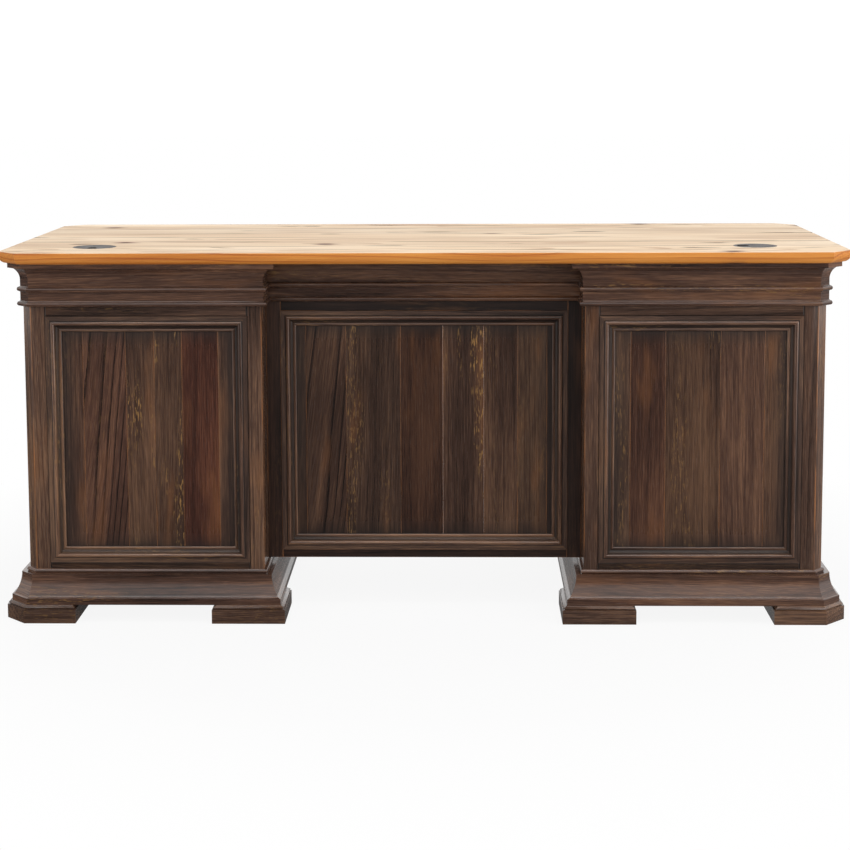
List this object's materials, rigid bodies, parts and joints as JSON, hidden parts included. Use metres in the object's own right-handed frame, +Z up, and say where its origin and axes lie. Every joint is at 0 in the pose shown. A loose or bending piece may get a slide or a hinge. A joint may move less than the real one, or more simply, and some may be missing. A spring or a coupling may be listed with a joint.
{
  "type": "double pedestal desk",
  "caption": "Double pedestal desk with a plank top, moulded cornice and plinth, panelled sides, block feet, a modesty panel, cable grommets and sliding drawers.",
  "frame": {"origin": "on the floor under the middle of the desk", "axes": "+X to the right as a visitor sees it, +Y towards the sitter, +Z up"},
  "size_m": [1.727, 0.711, 0.762],
  "materials": {
    "top_wood": "satin",
    "base_wood": "satin",
    "drawer_wood": "matte",
    "grommet_metal": "satin",
    "knob_metal": "satin",
    "runner_steel": "satin",
    "screw_steel": "satin"
  },
  "bodies": {
    "carcass": {"desk_top": "top_wood", "grommet_liners": "grommet_metal", "modesty_frame": "base_wood", "modesty_panel": "base_wood", "modesty_moulding": "base_wood", "centre_cornice": "base_wood", "centre_fixed_runners": "runner_steel", "assembly_screws": "screw_steel", "left_posts": "base_wood", "left_rails": "base_wood", "left_visitor_panel": "base_wood", "left_side_panel": "base_wood", "left_panel_mouldings": "base_wood", "left_gable": "base_wood", "left_cornice": "base_wood", "left_plinth": "base_wood", "left_feet": "base_wood", "left_bottom_board": "drawer_wood", "left_cleats": "drawer_wood", "left_fixed_runners": "runner_steel", "right_posts": "base_wood", "right_rails": "base_wood", "right_visitor_panel": "base_wood", "right_side_panel": "base_wood", "right_panel_mouldings": "base_wood", "right_gable": "base_wood", "right_cornice": "base_wood", "right_plinth": "base_wood", "right_feet": "base_wood", "right_bottom_board": "drawer_wood", "right_cleats": "drawer_wood", "right_fixed_runners": "runner_steel"},
    "grommet_cap_left": {"grommet_cap_left": "grommet_metal"},
    "left_upper_drawer": {"left_upper_drawer_front": "base_wood", "left_upper_drawer_box": "drawer_wood", "left_upper_drawer_knob": "knob_metal", "left_upper_drawer_runners": "runner_steel"},
    "left_file_drawer": {"left_file_drawer_front": "base_wood", "left_file_drawer_box": "drawer_wood", "left_file_drawer_knob": "knob_metal", "left_file_drawer_runners": "runner_steel", "left_file_hanging_rails": "runner_steel"},
    "left_file_middle_runners": {"left_file_middle_runners": "runner_steel"},
    "grommet_cap_right": {"grommet_cap_right": "grommet_metal"},
    "right_upper_drawer": {"right_upper_drawer_front": "base_wood", "right_upper_drawer_box": "drawer_wood", "right_upper_drawer_knob": "knob_metal", "right_upper_drawer_runners": "runner_steel"},
    "right_file_drawer": {"right_file_drawer_front": "base_wood", "right_file_drawer_box": "drawer_wood", "right_file_drawer_knob": "knob_metal", "right_file_drawer_runners": "runner_steel", "right_file_hanging_rails": "runner_steel"},
    "right_file_middle_runners": {"right_file_middle_runners": "runner_steel"},
    "centre_drawer": {"centre_drawer_front": "base_wood", "centre_drawer_cornice": "base_wood", "centre_drawer_box": "drawer_wood", "centre_drawer_runners": "runner_steel"}
  },
  "joints": [
    {"name": "grommet_cap_left_turn", "type": "hinge", "parent": "carcass", "child": "grommet_cap_left", "pos_m": [-0.685, -0.2145, 0.76], "axis": [0, 0, 1], "continuous": true},
    {"name": "left_upper_drawer_slide", "type": "slide", "parent": "carcass", "child": "left_upper_drawer", "axis": [0, 1, 0], "range_m": [0, 0.33]},
    {"name": "left_file_drawer_slide", "type": "slide", "parent": "carcass", "child": "left_file_drawer", "axis": [0, 1, 0], "range_m": [0, 0.44]},
    {"name": "left_file_middle_runners_slide", "type": "slide", "parent": "carcass", "child": "left_file_middle_runners", "axis": [0, 1, 0], "range_m": [0, 0.22]},
    {"name": "grommet_cap_right_turn", "type": "hinge", "parent": "carcass", "child": "grommet_cap_right", "pos_m": [0.685, -0.2145, 0.76], "axis": [0, 0, 1], "continuous": true},
    {"name": "right_upper_drawer_slide", "type": "slide", "parent": "carcass", "child": "right_upper_drawer", "axis": [0, 1, 0], "range_m": [0, 0.33]},
    {"name": "right_file_drawer_slide", "type": "slide", "parent": "carcass", "child": "right_file_drawer", "axis": [0, 1, 0], "range_m": [0, 0.44]},
    {"name": "right_file_middle_runners_slide", "type": "slide", "parent": "carcass", "child": "right_file_middle_runners", "axis": [0, 1, 0], "range_m": [0, 0.22]},
    {"name": "centre_drawer_slide", "type": "slide", "parent": "carcass", "child": "centre_drawer", "axis": [0, 1, 0], "range_m": [0, 0.3]}
  ],
  "couplings": [
    {"joint": "left_file_middle_runners_slide", "follows": "left_file_drawer_slide", "ratio": 0.5},
    {"joint": "right_file_middle_runners_slide", "follows": "right_file_drawer_slide", "ratio": 0.5}
  ]
}
